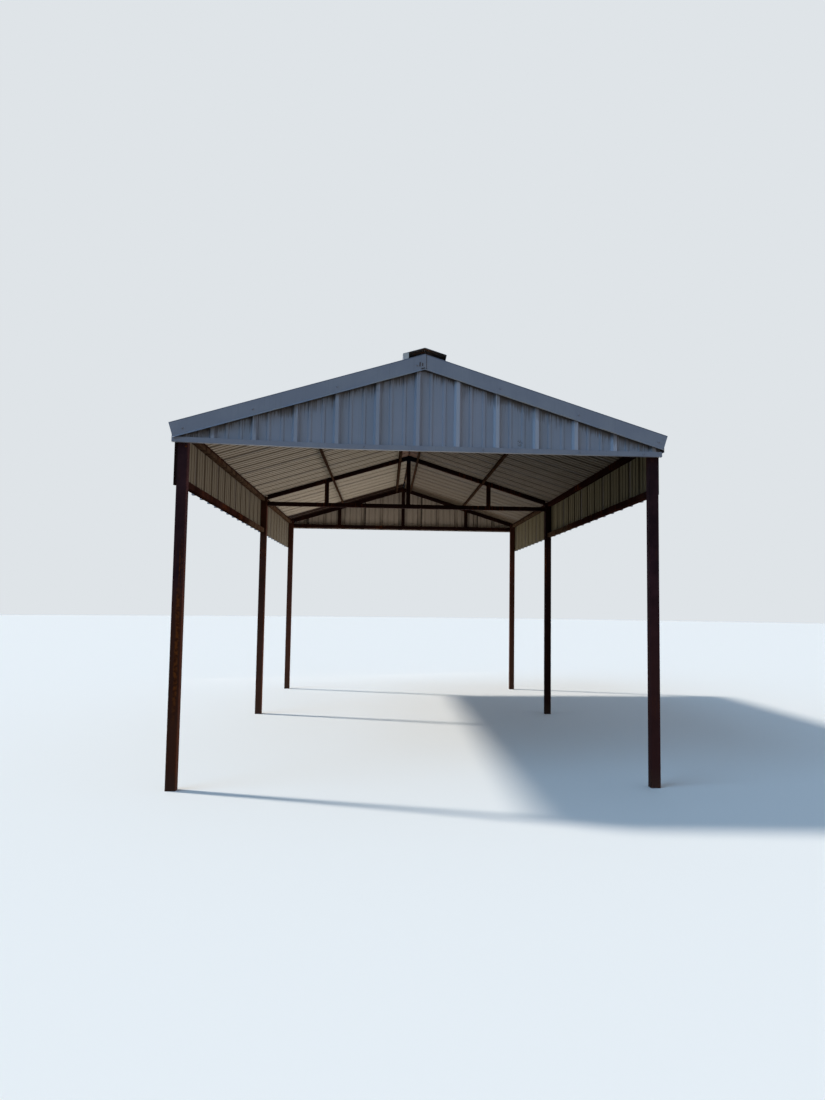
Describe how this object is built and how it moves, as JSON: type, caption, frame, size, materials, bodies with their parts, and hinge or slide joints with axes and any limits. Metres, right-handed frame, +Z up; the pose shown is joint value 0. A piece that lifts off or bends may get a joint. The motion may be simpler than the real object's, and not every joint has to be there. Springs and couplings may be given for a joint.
{
  "type": "carport",
  "caption": "Open welded steel carport: square-tube posts and trusses under a ribbed metal gable roof, with short side skirts, sheeted gable ends and a ridge vent.",
  "frame": {"origin": "on the ground at the middle of the plan, half way between the side posts and half way between the two gables", "axes": "+Z up; +X across the width, to the right seen from the front gable; +Y along the length, from the front gable to the rear gable"},
  "size_m": [3.7836, 7.4882, 3.3225],
  "materials": {
    "post_steel": "red-oxide primer, weathered, rust-stained",
    "frame_steel": "red-oxide primer, matte",
    "wall_sheet": "grey baked paint outside, beige backer coat inside",
    "roof_sheet": "grey baked paint outside, beige backer coat inside",
    "flashing": "plain grey folded flashing, satin"
  },
  "bodies": {
    "root": {"post_front_left": "post_steel", "post_front_right": "post_steel", "post_middle_left": "post_steel", "post_middle_right": "post_steel", "post_rear_left": "post_steel", "post_rear_right": "post_steel", "rafter_front_left": "frame_steel", "rafter_front_right": "frame_steel", "tie_front": "frame_steel", "king_post_front": "frame_steel", "struts_front": "frame_steel", "rafter_middle_left": "frame_steel", "rafter_middle_right": "frame_steel", "tie_middle": "frame_steel", "king_post_middle": "frame_steel", "struts_middle": "frame_steel", "rafter_rear_left": "frame_steel", "rafter_rear_right": "frame_steel", "tie_rear": "frame_steel", "king_post_rear": "frame_steel", "struts_rear": "frame_steel", "middle_purlin_left": "frame_steel", "ridge_purlin_left": "frame_steel", "eave_beam_left": "frame_steel", "side_rail_left": "frame_steel", "middle_purlin_right": "frame_steel", "ridge_purlin_right": "frame_steel", "eave_beam_right": "frame_steel", "side_rail_right": "frame_steel", "skirt_left": "wall_sheet", "skirt_right": "wall_sheet", "gable_front": "wall_sheet", "gable_trim_front": "flashing", "gable_rear": "wall_sheet", "gable_trim_rear": "flashing", "roof_left": "roof_sheet", "roof_right": "roof_sheet", "rake_front_left": "flashing", "rake_front_right": "flashing", "rake_rear_left": "flashing", "rake_rear_right": "flashing", "eave_trim_left": "flashing", "eave_trim_right": "flashing", "ridge_vent": "flashing", "ridge_vent_tab": "flashing"}
  },
  "joints": []
}
